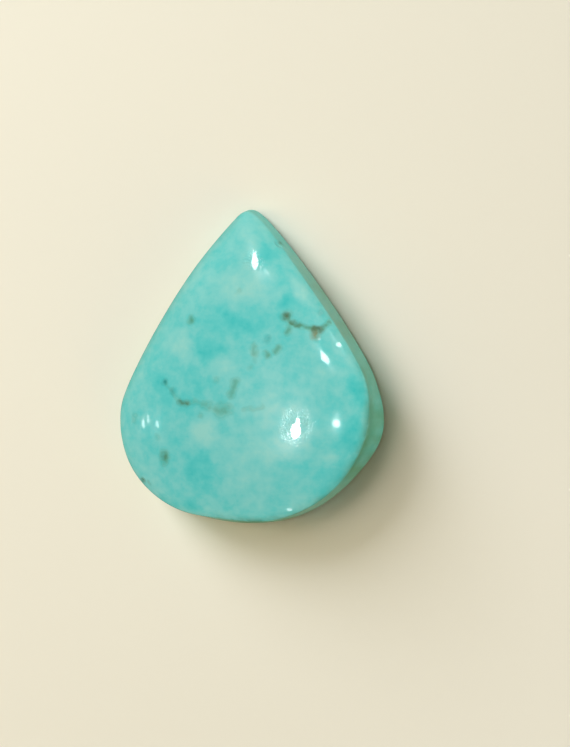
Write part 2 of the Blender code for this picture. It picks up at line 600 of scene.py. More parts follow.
    def faces(self) -> tuple[np.ndarray, np.ndarray]:
        """Number the corners of quads between the rings, and of fans at both poles.

        Returns:
            The quads, of shape (count, 4), and the fans' triangles, of shape (count, 3).
        """
        rings, around = self.skin.points.shape[:2]
        index = np.arange(rings * around).reshape(rings, around)
        after = np.roll(index, -1, axis=1)
        quads = np.stack((index[:-1], after[:-1], after[1:], index[1:]), axis=2).reshape(-1, 4)
        crest = np.full(around, rings * around)
        top = np.stack((index[-1], after[-1], crest), axis=1)
        bottom = np.stack((after[0], index[0], crest + 1), axis=1)
        return quads, np.concatenate((top, bottom))

    def build(self) -> bpy.types.Object:
        """Turn the skin into a closed mesh that carries the masks.

        Returns:
            The stone, at the origin with its place in its mesh.
        """
        points = np.concatenate((self.skin.points.reshape(-1, 3),
                                 [self.skin.crest, self.skin.under]))
        quads, fans = self.faces()
        mesh = bpy.data.meshes.new(self.name)
        mesh.vertices.add(len(points))
        mesh.vertices.foreach_set("co", (points * MM).ravel())
        mesh.loops.add(quads.size + fans.size)
        mesh.loops.foreach_set("vertex_index", np.concatenate((quads.ravel(), fans.ravel())))
        mesh.polygons.add(len(quads) + len(fans))
        starts = np.concatenate((np.arange(len(quads)) * 4,
                                 quads.size + np.arange(len(fans)) * 3))
        mesh.polygons.foreach_set("loop_start", starts)
        mesh.update(calc_edges=True)
        mesh.validate()
        mesh.shade_smooth()
        for name, under_value in MASKS.items():
            values = np.concatenate((getattr(self.skin, name).ravel(), [0.0, under_value]))
            layer = mesh.attributes.new(name, "FLOAT", "POINT")
            layer.data.foreach_set("value", values.astype(np.float32))
        return put_in_scene(self.name, mesh)

    def dress(self, stone: bpy.types.Object, finish: TurquoiseFinish) -> None:
        """Give the stone its finish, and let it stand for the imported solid.

        Args:
            stone: the built object.
            finish: how its surface looks.
        """
        stone.data.materials.append(finish.material(self.skin))
        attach(stone, "root")
        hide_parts(STONE_NODE)


# ---------------------------------------------------------------------------------------------
# Finish
# ---------------------------------------------------------------------------------------------


@dataclass(frozen=True)
class Cloud:
    """A noise pattern.

    Args:
        scale: how many of its features lie in a millimetre.
        detail: how many finer layers it has.
        roughness: how strong each is against the one before.
    """

    scale: float
    detail: float = 2.0
    roughness: float = 0.5


@dataclass(frozen=True)
class Step:
    """A smooth step.

    Args:
        low: where it begins.
        high: where it ends.
        start: what it gives at the low end.
        end: what it gives at the high end.
    """

    low: float | Socket
    high: float | Socket
    start: float | Socket = 0.0
    end: float | Socket = 1.0


class Bench:
    """Places nodes in one tree and wires them up."""

    def __init__(self, tree: bpy.types.NodeTree) -> None:
        """Work in the given tree."""
        self.tree = tree

    def add(self, kind: str, inputs: dict[str | int, object] | None = None,
            **settings: object) -> bpy.types.Node:
        """Place a node.

        Args:
            kind: its Blender type.
            inputs: a number, colour, vector or socket for each named or numbered input.
            settings: its own properties.

        Returns:
            The node.
        """
        node = self.tree.nodes.new(kind)
        for name, value in settings.items():
            setattr(node, name, value)
        for name, value in (inputs or {}).items():
            self.feed(node.inputs[name], value)
        return node

    def feed(self, socket: Socket, value: object) -> None:
        """Link a socket's source to it, or set it to a plain value.

        Args:
            socket: an input.
            value: another node's output, or a value.
        """
        if isinstance(value, Socket):
            self.tree.links.new(value, socket)
        else:
            socket.default_value = value

    def math(self, operation: str, *values: object) -> Socket:
        """A Math node's result."""
        node = self.add("ShaderNodeMath", dict(enumerate(values)), operation=operation)
        return node.outputs["Value"]

    def vector(self, operation: str, *values: object, scale: object = None) -> Socket:
        """Place a Vector Math node.

        Args:
            operation: what it does.
            values: its vectors.
            scale: the number that a SCALE multiplies by.

        Returns:
            A number for a length, a distance or a dot product, and otherwise a vector.
        """
        inputs = dict(enumerate(values))
        if scale is not None:
            inputs["Scale"] = scale
        node = self.add("ShaderNodeVectorMath", inputs, operation=operation)
        is_number = operation in ("LENGTH", "DISTANCE", "DOT_PRODUCT")
        return node.outputs["Value" if is_number else "Vector"]

    def ease(self, value: Socket, step: Step) -> Socket:
        """Step a value smoothly. The step holds at both ends, so the node isn't clamped.

        Args:
            value: what is stepped.
            step: where, and from what to what.

        Returns:
            What the step gives.
        """
        inputs = {"Value": value, "From Min": step.low, "From Max": step.high,
                  "To Min": step.start, "To Max": step.end}
        node = self.add("ShaderNodeMapRange", inputs, interpolation_type="SMOOTHSTEP",
                        clamp=False)
        return node.outputs["Result"]

    def noise(self, place: Socket, cloud: Cloud, output: str = "Fac") -> Socket:
        """A cloud's value, or with output "Color" its colour, at each place."""
        inputs = {"Vector": place, "Scale": cloud.scale, "Detail": cloud.detail,
                  "Roughness": cloud.roughness}
        return self.add("ShaderNodeTexNoise", inputs).outputs[output]

    def clouded(self, place: Socket, cloud: Cloud, step: Step) -> Socket:
        """A smooth step of a cloud's value at each place."""
        return self.ease(self.noise(place, cloud), step)

    def drifted(self, place: Socket, cloud: Cloud, reach: float) -> Socket:
        """The place moved about, by noise of up to half the reach each way."""
        drift = self.vector("SUBTRACT", self.noise(place, cloud, "Color"), NOISE_MIDDLE)
        return self.vector("ADD", place, self.vector("SCALE", drift, scale=reach))

    def mapped(self, place: Socket, kind: str = "POINT", **inputs: Triple) -> Socket:
        """The place through a Mapping node."""
        node = self.add("ShaderNodeMapping", {"Vector": place, **inputs}, vector_type=kind)
        return node.outputs["Vector"]

    def attribute(self, name: str) -> Socket:
        """A mask that the mesh carries."""
        return self.add("ShaderNodeAttribute", attribute_name=name).outputs["Fac"]

    def blend(self, share: object, first: object, second: object) -> Socket:
        """Blend two colours.

        Args:
            share: 0 for the first, 1 for the second.
            first: a colour.
            second: another.

        Returns:
            The blended colour.
        """
        # a Mix node has a set of sockets for each kind of data, and these are the colours'
        inputs = {0: share, 6: first, 7: second}
        return self.add("ShaderNodeMix", inputs, data_type="RGBA").outputs[2]

    def product(self, *values: object) -> Socket:
        """Several values multiplied together."""
        return reduce(lambda result, value: self.math("MULTIPLY", result, value), values)

    def highest(self, *masks: Socket) -> Socket:
        """The largest of several masks at each place."""
        return reduce(lambda result, mask: self.math("MAXIMUM", result, mask), masks)


@dataclass(frozen=True)
class Blank:
    """The shaped stone, as its finish reads it.

    Args:
        bench: where its nodes go.
        skin: the stone's surface.
        place: where each point is, in millimetres.
        along: how far that is towards the tip.
        wall: the mask of the wall.
        base: the mask of the base.
        rim: the mask of the painted shade along the girdle.
    """

    bench: Bench
    skin: Skin
    place: Socket
    along: Socket
    wall: Socket
    base: Socket
    rim: Socket

    @classmethod
    def read(cls, bench: Bench, skin: Skin) -> Blank:
        """Read the place and the masks.

        Args:
            bench: where the nodes go.
            skin: the stone's surface.

        Returns:
            The blank.
        """
        metres = bench.add("ShaderNodeTexCoord").outputs["Object"]
        place = bench.vector("SCALE", metres, scale=1 / MM)
        along = bench.add("ShaderNodeSeparateXYZ", {"Vector": place}).outputs["Y"]
        masks = {name: bench.attribute(name) for name in MASKS}
        return cls(bench, skin, place, along, **masks)

    def spot(self, place: complex) -> np.ndarray:
        """The point of the dome above a plan place."""
        return self.skin.dome_spot(place)[0]


def srgb(red: int, green: int, blue: int) -> Colour:
    """Turn a screen colour into a shader colour, by the screen's own curve.

    Args:
        red: 0 to 255.
        green: 0 to 255.
        blue: 0 to 255.

    Returns:
        The linear colour, opaque.
    """
    screen = np.array([red, green, blue]) / 255
    linear = np.where(screen <= 0.04045, screen / 12.92, ((screen + 0.055) / 1.055) ** 2.4)
    return (*linear.tolist(), 1.0)


class Tone(Enum):
    """Which way a patch moves the turquoise."""

    PALE = 1.0
    DEEP = -1.0


@dataclass(frozen=True)
class Patch:
    """A soft patch of paler or deeper turquoise on the dome.

    Args:
        middle: its place in plan.
        radius: where it has nearly faded out.
        tone: paler or deeper.
        amount: how strong it is, against a full patch.
        stretch: its length along the turned direction, against its radius.
        turn: direction of that length.
    """

    middle: complex
    radius: float
    tone: Tone
    amount: float = 1.0
    stretch: float = 1.0
    turn: float = 0.0


class Stain(Enum):
    """What a matrix mark is made of, with its colour."""

    OLIVE = srgb(86, 160, 132)
    TEAL = srgb(44, 150, 142)
    BROWN = srgb(76, 126, 96)
    TAN = srgb(134, 146, 108)
    DARK = srgb(74, 116, 84)


@dataclass(frozen=True)
class Mark:
    """A matrix mark on the dome: a line through some places, or a spot at one.

    Args:
        path: places in plan.
        width: from its middle to where it has faded out.
        stain: what it is made of.
        strength: how much it covers the turquoise.
    """

    path: tuple[complex, ...]
    width: float
    stain: Stain
    strength: float = 1.0


PATCHES: tuple[Patch, ...] = (
    # the half with the tip
    Patch(0.0 + 9.6j, 1.6, Tone.PALE, 0.5),
    Patch(1.5 + 8.1j, 0.8, Tone.DEEP, 0.9),
    Patch(-1.3 + 7.0j, 1.0, Tone.DEEP, 0.6),
    Patch(-0.2 + 5.6j, 2.2, Tone.PALE, 0.9, 1.3),
    Patch(3.9 + 5.4j, 0.7, Tone.PALE, 0.8, 2.2, -65.0),
    Patch(3.0 + 4.7j, 0.7, Tone.DEEP, 0.9),
    Patch(-0.3 + 3.2j, 1.3, Tone.DEEP, 1.0, 2.2),
    Patch(-4.1 + 1.5j, 1.3, Tone.PALE, 1.1, 1.2, 90.0),
    Patch(-2.4 + 1.2j, 1.2, Tone.DEEP, 1.0),
    Patch(-0.9 + 0.2j, 1.3, Tone.PALE, 0.6),
    # painted sheen: a long pale patch along the upper-left edge, where the polish catches the
    # light
    Patch(-3.6 + 6.5j, 0.8, Tone.PALE, 0.4, 3.4, 60.0),
    Patch(-1.2 + 1.4j, 0.8, Tone.DEEP, 0.5),
    Patch(5.2 + 4.2j, 0.6, Tone.DEEP, 0.6),
    # the half with the round end
    Patch(5.5 - 0.2j, 0.8, Tone.PALE, 0.6),
    Patch(-4.2 - 1.9j, 2.2, Tone.DEEP, 0.7),
    Patch(-2.3 - 4.3j, 1.3, Tone.PALE, 1.2),
    Patch(-2.6 - 7.0j, 1.6, Tone.DEEP, 1.0, 1.3, 90.0),
    Patch(-3.4 - 9.6j, 0.7, Tone.DEEP, 0.8),
    Patch(0.6 - 6.9j, 3.0, Tone.PALE, 0.5),
    Patch(1.9 - 3.0j, 2.6, Tone.PALE, 0.6),
    Patch(3.1 - 5.4j, 1.0, Tone.PALE, 0.9),
    Patch(6.2 - 5.9j, 0.8, Tone.PALE, 0.9),
    # deeper along the right and lower-right edge: partly the stone's tone, partly painted shade
    # where the dome turns from the light
    Patch(8.0 - 1.3j, 0.9, Tone.DEEP, 1.3, 1.5, 100.0),
    Patch(7.5 - 4.6j, 1.3, Tone.DEEP, 1.1, 1.4, 70.0),
    Patch(6.4 - 7.6j, 1.4, Tone.DEEP, 0.9, 1.6, 50.0),
    Patch(-7.2 - 0.5j, 0.6, Tone.PALE, 0.5),
    Patch(6.9 - 1.4j, 0.8, Tone.PALE, 0.5),
    Patch(4.4 - 3.0j, 1.3, Tone.PALE, 0.5),
    Patch(4.3 - 5.4j, 1.1, Tone.PALE, 0.5),
    Patch(-5.9 - 1.0j, 1.0, Tone.DEEP, 0.5),
    Patch(-0.9 - 5.7j, 1.6, Tone.PALE, 0.5),
    Patch(0.8 - 9.5j, 1.2, Tone.PALE, 0.5),
    Patch(-1.4 - 1.5j, 0.8, Tone.DEEP, 0.5),
    Patch(1.5 - 1.4j, 0.8, Tone.DEEP, 0.5),
)

MARKS: tuple[Mark, ...] = (
    # the vein by the right flank, with its pit, branch and pocket
    Mark((3.18 + 3.68j,), 0.64, Stain.OLIVE, 0.9),
    Mark((3.12 + 3.68j,), 0.46, Stain.DARK, 1.0),
    Mark((3.28 + 3.50j, 3.45 + 3.22j), 0.34, Stain.OLIVE, 0.8),
    Mark((3.45 + 3.22j, 3.72 + 3.11j, 4.09 + 3.03j), 0.38, Stain.OLIVE, 0.9),
    Mark((3.50 + 3.20j, 4.00 + 3.05j), 0.28, Stain.BROWN, 0.8),
    Mark((4.09 + 3.03j, 4.62 + 2.83j, 4.90 + 2.77j), 0.36, Stain.OLIVE, 0.9),
    Mark((3.44 + 3.05j, 3.33 + 2.56j), 0.42, Stain.OLIVE, 0.85),
    Mark((4.95 + 2.76j, 5.42 + 2.84j), 0.40, Stain.DARK, 0.95),
    Mark((5.40 + 2.76j,), 0.48, Stain.DARK, 0.9),
    Mark((5.08 + 2.56j, 5.12 + 2.30j), 0.58, Stain.TAN, 1.0),
    Mark((5.52 + 2.90j, 5.66 + 3.04j, 5.88 + 3.30j), 0.38, Stain.OLIVE, 0.9),
    Mark((5.29 + 3.90j,), 0.44, Stain.TEAL, 0.35),
    # the row of flecks across the middle
    Mark((1.13 + 1.55j, 1.14 + 1.10j), 0.46, Stain.OLIVE, 0.65),
    Mark((1.14 + 0.95j, 1.14 + 0.50j), 0.32, Stain.OLIVE, 0.25),
    Mark((2.03 + 2.08j,), 0.44, Stain.TEAL, 0.6),
    Mark((2.00 + 1.03j,), 0.44, Stain.OLIVE, 0.9),
    Mark((2.61 + 1.28j, 2.76 + 1.49j), 0.42, Stain.OLIVE, 0.8),
    Mark((0.84 + 0.09j,), 0.36, Stain.OLIVE, 0.3),
    Mark((-0.08 - 0.90j, -0.24 - 1.31j), 0.50, Stain.OLIVE, 0.7),
    Mark((-0.24 - 1.31j, -0.44 - 1.80j), 0.46, Stain.OLIVE, 0.65),
    Mark((-1.53 - 0.80j,), 0.40, Stain.OLIVE, 0.35),
    # the vein on the left
    Mark((-5.35 - 1.07j,), 0.38, Stain.TEAL, 1.0),
    Mark((-5.25 - 1.20j, -4.66 - 1.67j, -4.10 - 2.40j), 0.28, Stain.OLIVE, 0.35),
    Mark((-4.66 - 1.67j,), 0.44, Stain.TEAL, 0.5),
    Mark((-4.04 - 2.47j, -3.64 - 2.48j), 0.40, Stain.BROWN, 0.85),
    Mark((-3.50 - 2.47j, -3.00 - 2.32j, -2.30 - 2.45j), 0.34, Stain.OLIVE, 0.45),
    Mark((-2.30 - 2.50j, -1.95 - 2.58j), 0.52, Stain.OLIVE, 0.55),
    Mark((-1.95 - 2.55j, -1.36 - 2.84j), 0.40, Stain.OLIVE, 0.45),
    Mark((-1.36 - 2.86j, -0.74 - 2.85j), 0.72, Stain.OLIVE, 0.7),
    Mark((0.50 - 2.72j, 1.07 - 2.68j, 1.77 - 2.63j), 0.30, Stain.OLIVE, 0.35),
    # single spots
    Mark((-3.58 + 3.26j,), 0.52, Stain.OLIVE, 0.95),
    Mark((-0.22 + 5.31j,), 0.38, Stain.OLIVE, 0.28),
    Mark((-2.63 - 3.32j,), 0.36, Stain.OLIVE, 0.5),
    Mark((-5.84 - 4.86j,), 0.38, Stain.OLIVE, 0.3),
    Mark((-7.70 - 3.50j, -7.70 - 3.85j), 0.36, Stain.OLIVE, 0.35),
    Mark((-5.32 - 6.08j, -5.39 - 6.46j), 0.60, Stain.OLIVE, 0.85),
    Mark((-5.36 - 6.25j,), 0.34, Stain.BROWN, 0.6),
    Mark((-7.30 - 8.05j,), 0.34, Stain.BROWN, 1.0),
    Mark((-6.77 - 8.12j,), 0.26, Stain.BROWN, 0.4),
    Mark((1.96 + 8.65j,), 0.44, Stain.BROWN, 0.8),
)


@dataclass(frozen=True)
class Body:
    """The turquoise: a colour scale driven by clouds, fine mottling and soft patches.

    Args:
        tones: places and colours on the scale, from deep to pale.
        plain: place on the scale where nothing moves it.
        clouds: the large clouds.
        cloud_share: how far they move the tone.
        mottle: the fine mottling.
        mottle_share: how far it moves the tone.
        patches: the patches.
        patch_share: how far a full patch moves the tone.
        patch_fade: where a patch starts to fade and where it is gone, against its radius.
        patch_drift: noise that moves the patches' edges.
        patch_reach: how far it moves them.
    """

    tones: tuple[tuple[float, Colour], ...] = (
        (0.22, srgb(63, 200, 198)),
        (0.48, srgb(98, 210, 206)),
        (0.72, srgb(131, 217, 211)),
        (0.95, srgb(154, 222, 212)),
    )
    plain: float = 0.09
    clouds: Cloud = Cloud(0.42)
    cloud_share: float = 0.4
    mottle: Cloud = Cloud(1.3, 3.0, 0.55)
    mottle_share: float = 0.65
    patches: tuple[Patch, ...] = PATCHES
    patch_share: float = 0.24
    patch_fade: tuple[float, float] = (0.1, 1.25)
    patch_drift: Cloud = Cloud(1.1, 3.0)
    patch_reach: float = 0.9

    def colour(self, blank: Blank) -> Socket:
        """Work out the colour.

        Args:
            blank: what it is laid on.

        Returns:
            The colour.
        """
        bench = blank.bench
        wandering = bench.drifted(blank.place, self.patch_drift, self.patch_reach)
        clouds = bench.noise(blank.place, self.clouds)
        mottle = bench.noise(blank.place, self.mottle)
        tone = bench.math("MULTIPLY_ADD", clouds, self.cloud_share, self.plain)
        tone = bench.math("MULTIPLY_ADD", mottle, self.mottle_share, tone)
        for patch in self.patches:
            size = (patch.radius * patch.stretch, patch.radius, patch.radius)
            local = bench.mapped(wandering, "TEXTURE", Location=blank.spot(patch.middle),
                                 Rotation=(0, 0, math.radians(patch.turn)), Scale=size)
            change = self.patch_share * patch.amount * patch.tone.value
            fading = Step(*self.patch_fade, change, 0.0)
            tone = bench.math("ADD", tone, bench.ease(bench.vector("LENGTH", local), fading))
        scale = bench.add("ShaderNodeValToRGB", {"Fac": tone})
        stops = scale.color_ramp.elements
        stops.remove(stops[0])
        stops[0].position, stops[0].color = self.tones[0]
        for position, colour in self.tones[1:]:
            stops.new(position).color = colour
        return scale.outputs["Color"]


@dataclass(frozen=True)
class Veining:
    """The matrix marks, with uneven edges and thin places.

    Args:
        marks: the marks.
        drift: noise that moves their edges.
        reach: how far it moves them.
        wear: noise that thins them.
        thinning: how it does.
    """

    marks: tuple[Mark, ...] = MARKS
    drift: Cloud = Cloud(1.7, 2.0, 0.45)
    reach: float = 0.5
    wear: Cloud = Cloud(2.6)
    thinning: Step = Step(0.32, 0.56, 0.65, 1.0)

    def laid_over(self, blank: Blank, colour: Socket) -> tuple[Socket, Socket]:
        """Lay the marks over the turquoise, one stain after another.

        Args:
            blank: what they are laid on.
            colour: the turquoise.

        Returns:
            The marked colour, and a mask of all marks.
        """
        bench = blank.bench
        wandering = bench.drifted(blank.place, self.drift, self.reach)
        worn = bench.clouded(blank.place, self.wear, self.thinning)
        group = line_group()
        covers = []
        for stain in Stain:
            cover = None
            for mark in self.marks:
                if mark.stain is stain:
                    cover = self.stroke(blank, group, wandering, mark, cover)
            cover = bench.product(cover, worn)
            colour = bench.blend(cover, colour, stain.value)
            covers.append(cover)
        return colour, bench.highest(*covers)

    @staticmethod
    def stroke(blank: Blank, group: bpy.types.NodeTree, place: Socket, mark: Mark,
               under: Socket | None) -> Socket:
        """Add a mark to a mask, by its straight pieces from one of its places to the next.

        Args:
            blank: what it is laid on.
            group: the node group that masks one straight piece.
            place: the moved place.
            mark: what to add.
            under: the mask so far.

        Returns:
            The mask with the mark in it.
        """
        spots = [blank.spot(corner) for corner in mark.path]
        for start, end in zip(spots, spots[1:] or spots):
            given = {"Place": place, "Start": start, "Span": end - start,
                     "Fold": fold_of(end - start), "Width": mark.width,
                     "Strength": mark.strength}
            if under is not None:
                given["Under"] = under
            under = blank.bench.add("ShaderNodeGroup", given, node_tree=group).outputs["Mask"]
        return under


def line_group() -> bpy.types.NodeTree:
    """A node group that masks the places near a straight line from Start over Span.

    The nearest point of the line lies at share t = dot(place - start, span) * fold, held to
    0 to 1, where fold is one over the span's length squared. The mask eases from Strength on
    the line to 0 at Width from it, and isn't less than the mask Under it.

    Returns:
        The group.
    """
    group = bpy.data.node_groups.new("matrix_line", "ShaderNodeTree")
    vectors, numbers = ("Place", "Start", "Span"), ("Fold", "Width", "Strength", "Under")
    for names, kind in ((vectors, "NodeSocketVector"), (numbers, "NodeSocketFloat")):
        for name in names:
            group.interface.new_socket(name, in_out="INPUT", socket_type=kind)
    group.interface.new_socket("Mask", in_out="OUTPUT", socket_type="NodeSocketFloat")
    bench = Bench(group)
    given = bench.add("NodeGroupInput").outputs
    from_start = bench.vector("SUBTRACT", given["Place"], given["Start"])
    along = bench.vector("DOT_PRODUCT", from_start, given["Span"])
    share = bench.product(along, given["Fold"])
    share = bench.math("MINIMUM", bench.math("MAXIMUM", share, 0.0), 1.0)
    reached = bench.vector("SCALE", given["Span"], scale=share)
    gap = bench.vector("DISTANCE", from_start, reached)
    mask = bench.ease(gap, Step(0.0, given["Width"], given["Strength"], 0.0))
    bench.add("NodeGroupOutput", {"Mask": bench.highest(mask, given["Under"])})
    return group


@dataclass(frozen=True)
class EdgeFilmAndShade:
    """Matrix and painted shade round the edge: on the wall in bands, along the girdle, and on the
    base.

    Args:
        lower: the wall's colour by the belly: matrix, painted shade and painted floor reflection.
        upper: its colour by the tip, of the same matrix, painted shade and painted floor
            reflection.
        rising: where the one gives way to the other.
        bands: noise that makes the bands.
        band_stretch: what makes them upright.
        banding: the film's share in them.
        clearing: where the film, with its painted shade, thins towards the tip.
        rim: the colour of the painted shade along the girdle.
        rim_shade_breaks: noise that breaks it up.
        rim_shade_breaking: how it does.
        rim_shade_ending: its share, where it ends towards the tip.
        base_film: the base's colour.
        blots: noise that makes the base's blots.
        blotting: the base film's share in them.
    """

    # the wall's film: partly matrix, partly painted shade and painted reflection of the warm floor
    lower: Colour = srgb(88, 144, 94)
    upper: Colour = srgb(136, 146, 104)
    rising: Step = Step(0.5, 3.5)
    bands: Cloud = Cloud(1.0)
    band_stretch: Triple = (1.0, 1.0, 0.25)
    banding: Step = Step(0.25, 0.75, 0.51, 0.85)
    clearing: Step = Step(4.5, 9.5, 1.0, 0.15)
    # the painted shade along the girdle
    rim: Colour = srgb(72, 132, 98)
    rim_shade_breaks: Cloud = Cloud(0.9)
    rim_shade_breaking: Step = Step(0.35, 0.6, 0.35, 1.0)
    rim_shade_ending: Step = Step(-1.5, 2.5, 0.8, 0.0)
    base_film: Colour = srgb(150, 150, 110)
    blots: Cloud = Cloud(0.35, 3.0, 0.6)
    blotting: Step = Step(0.42, 0.62, 0.15, 0.75)

    def laid_over(self, blank: Blank, colour: Socket) -> Socket:
        """Lay the film over the turquoise.

        Args:
            blank: what it is laid on.
            colour: the turquoise.

        Returns:
            The filmed colour.
        """
        bench = blank.bench
        # bands on the wall: partly matrix, partly painted shade and floor reflection; thinner
        # towards the tip
        stretched = bench.mapped(blank.place, Scale=self.band_stretch)
        bands = bench.clouded(stretched, self.bands, self.banding)
        film = bench.blend(bench.ease(blank.along, self.rising), self.lower, self.upper)
        clearing = bench.ease(blank.along, self.clearing)
        colour = bench.blend(bench.product(bands, blank.wall, clearing), colour, film)

        blots = bench.clouded(blank.place, self.blots, self.blotting)
        colour = bench.blend(bench.product(blots, blank.base), colour, self.base_film)

        # painted shade along the girdle, broken up by noise and fading out towards the tip
        breaks = bench.clouded(blank.place, self.rim_shade_breaks, self.rim_shade_breaking)
        ending = bench.ease(blank.along, self.rim_shade_ending)
        return bench.blend(bench.product(blank.rim, breaks, ending), colour, self.rim)


@dataclass(frozen=True)
class Pitting:
    """A part of the dome where tiny pits break up the polish.

    Args:
        middle: its place in plan.
        fading: how it fades with the distance from there.
    """

    middle: complex
    fading: Step


@dataclass(frozen=True)
class Polish:
    """The surface: a glassy coat over a duller one, broken up by tiny pits and by matrix.

    Args:
        ior: of the stone.
        coat: weight of the coat.
        coat_roughness: of the coat.
        under_coat: specular level below it.
        roughness: below it, before the rest moves it.
        smears: noise that adds to the roughness.
        smear_share: how much it adds.
        pitted_share: what pitting adds to it, here a drop, as the pits are relief.
        matrix_share: what matrix adds.
        wall_share: what the wall adds.
        base_share: what the base adds.
        wall_bareness: share of the coat that the wall lacks.
        pitting: the pitted parts.
        pits: noise that makes the pits.
        pit_depth: their depth.
        holes: where that noise makes a hole in the coat, and the share that is lost.
        grain: noise of the fine grain.
        grain_depth: its depth.
        scratches: noise of the base's scratches.
        scratch_stretch: what makes them long.
        scratch_turn: their direction.
        scratch_depth: their depth.
    """

    ior: float = 1.61
    coat: float = 0.6
    coat_roughness: float = 0.03
    under_coat: float = 0.25
    roughness: float = 0.17
    smears: Cloud = Cloud(0.8, 3.0)
    smear_share: float = 0.06
    pitted_share: float = -0.13
    matrix_share: float = 0.3
    wall_share: float = 0.2
    base_share: float = 0.2
    wall_bareness: float = 0.93
    pitting: tuple[Pitting, ...] = (
        Pitting(4.15 - 3.8j, Step(0.2, 1.8, 1.0, 0.0)),
        Pitting(0.55 + 7.5j, Step(0.2, 1.2, 0.9, 0.0)),
    )
    pits: Cloud = Cloud(8.0, 1.0)
    pit_depth: float = 0.06
    holes: Step = Step(0.48, 0.60, 0.0, 0.8)
    grain: Cloud = Cloud(5.0, 3.0, 0.6)
    grain_depth: float = 0.003
    scratches: Cloud = Cloud(1.6, 3.0, 0.7)
    scratch_stretch: Triple = (6.0, 0.5, 1.0)
    scratch_turn: float = 35.0
    scratch_depth: float = 0.03

    def finish(self, blank: Blank, cover: Socket, shader: bpy.types.Node) -> None:
        """Set the shader's gloss and relief.

        Args:
            blank: what it is laid on.
            cover: the mask of matrix.
            shader: the material's own shader.
        """
        bench = blank.bench
        gaps = [bench.vector("DISTANCE", blank.place, blank.spot(part.middle))
                for part in self.pitting]
        pitted = bench.highest(*(bench.ease(gap, part.fading)
                                 for gap, part in zip(gaps, self.pitting)))
        pits = bench.noise(blank.place, self.pits)
        bench.feed(shader.inputs["Roughness"], self.dullness(blank, cover, pitted))
        bench.feed(shader.inputs["Normal"], self.relief(blank, pits, pitted))
        bench.feed(shader.inputs["Coat Weight"], self.coating(blank, cover, pits, pitted))
        shader.inputs["Coat Roughness"].default_value = self.coat_roughness
        shader.inputs["IOR"].default_value = self.ior
        shader.inputs["Specular IOR Level"].default_value = self.under_coat

    def dullness(self, blank: Blank, cover: Socket, pitted: Socket) -> Socket:
        """The roughness below the coat.

        Args:
            blank: what it is laid on.
            cover: the mask of matrix.
            pitted: the mask of pitted parts.

        Returns:
            The roughness.
        """
        bench = blank.bench
        smears = bench.noise(blank.place, self.smears)
        value = bench.math("MULTIPLY_ADD", smears, self.smear_share, self.roughness)
        for mask, share in ((pitted, self.pitted_share), (cover, self.matrix_share),
                            (blank.wall, self.wall_share), (blank.base, self.base_share)):
            value = bench.math("MULTIPLY_ADD", mask, share, value)
        return value

    def coating(self, blank: Blank, cover: Socket, pits: Socket, pitted: Socket) -> Socket:
        """The coat's weight: less on the wall, and with holes at matrix and at pits.

        Args:
            blank: what it is laid on.
            cover: the mask of matrix.
            pits: the noise of the pits.
            pitted: the mask of pitted parts.

        Returns:
            The weight.
        """
        bench = blank.bench
        holes = bench.product(bench.ease(pits, self.holes), pitted)
        whole = bench.math("SUBTRACT", 1.0, bench.highest(cover, holes))
        weight = bench.math("MULTIPLY_ADD", blank.wall, -self.wall_bareness * self.coat, self.coat)
        return bench.product(whole, weight)

    def relief(self, blank: Blank, pits: Socket, pitted: Socket) -> Socket:
        """The normal: grain and pits in the polish, and scratches on the base.

        Args:
            blank: what it is laid on.
            pits: the noise of the pits.
            pitted: the mask of pitted parts.

        Returns:
            The normal.
        """
        bench = blank.bench
        height = bench.product(bench.noise(blank.place, self.grain), self.grain_depth)
        pits = bench.product(pits, pitted)
        height = bench.math("MULTIPLY_ADD", pits, self.pit_depth, height)
        across = bench.mapped(blank.place, Scale=self.scratch_stretch,
                              Rotation=(0, 0, math.radians(self.scratch_turn)))
        scratches = bench.product(bench.noise(across, self.scratches), blank.base)
        height = bench.math("MULTIPLY_ADD", scratches, self.scratch_depth, height)
        bump = bench.add("ShaderNodeBump", {"Height": height, "Strength": 1.0, "Distance": MM})
        return bump.outputs["Normal"]


@dataclass(frozen=True)
class TurquoiseFinish:
    """Polished turquoise with pale and deep patches, brown and olive matrix, and painted shade at
    the edge.

    Args:
        name: of the material.
        body: the turquoise.
        veining: the matrix on the dome.
        edge_film_and_shade: the matrix and the painted shade round the edge.
        polish: the gloss and the fine relief.
    """

    name: str = "polished_turquoise"
    body: Body = Body()
    veining: Veining = Veining()
    edge_film_and_shade: EdgeFilmAndShade = EdgeFilmAndShade()
    polish: Polish = Polish()

    def material(self, skin: Skin) -> bpy.types.Material:
        """Build the material.

        Args:
            skin: the surface that it goes on.

        Returns:
            The finished material.
        """
        material = bpy.data.materials.new(self.name)
        material.use_nodes = True
        shader = material.node_tree.nodes["Principled BSDF"]
        blank = Blank.read(Bench(material.node_tree), skin)
        colour, cover = self.veining.laid_over(blank, self.body.colour(blank))
        colour = self.edge_film_and_shade.laid_over(blank, colour)
        blank.bench.feed(shader.inputs["Base Color"], colour)
        self.polish.finish(blank, cover, shader)
        return material


# ---------------------------------------------------------------------------------------------
# Stage, lights and view
# ---------------------------------------------------------------------------------------------


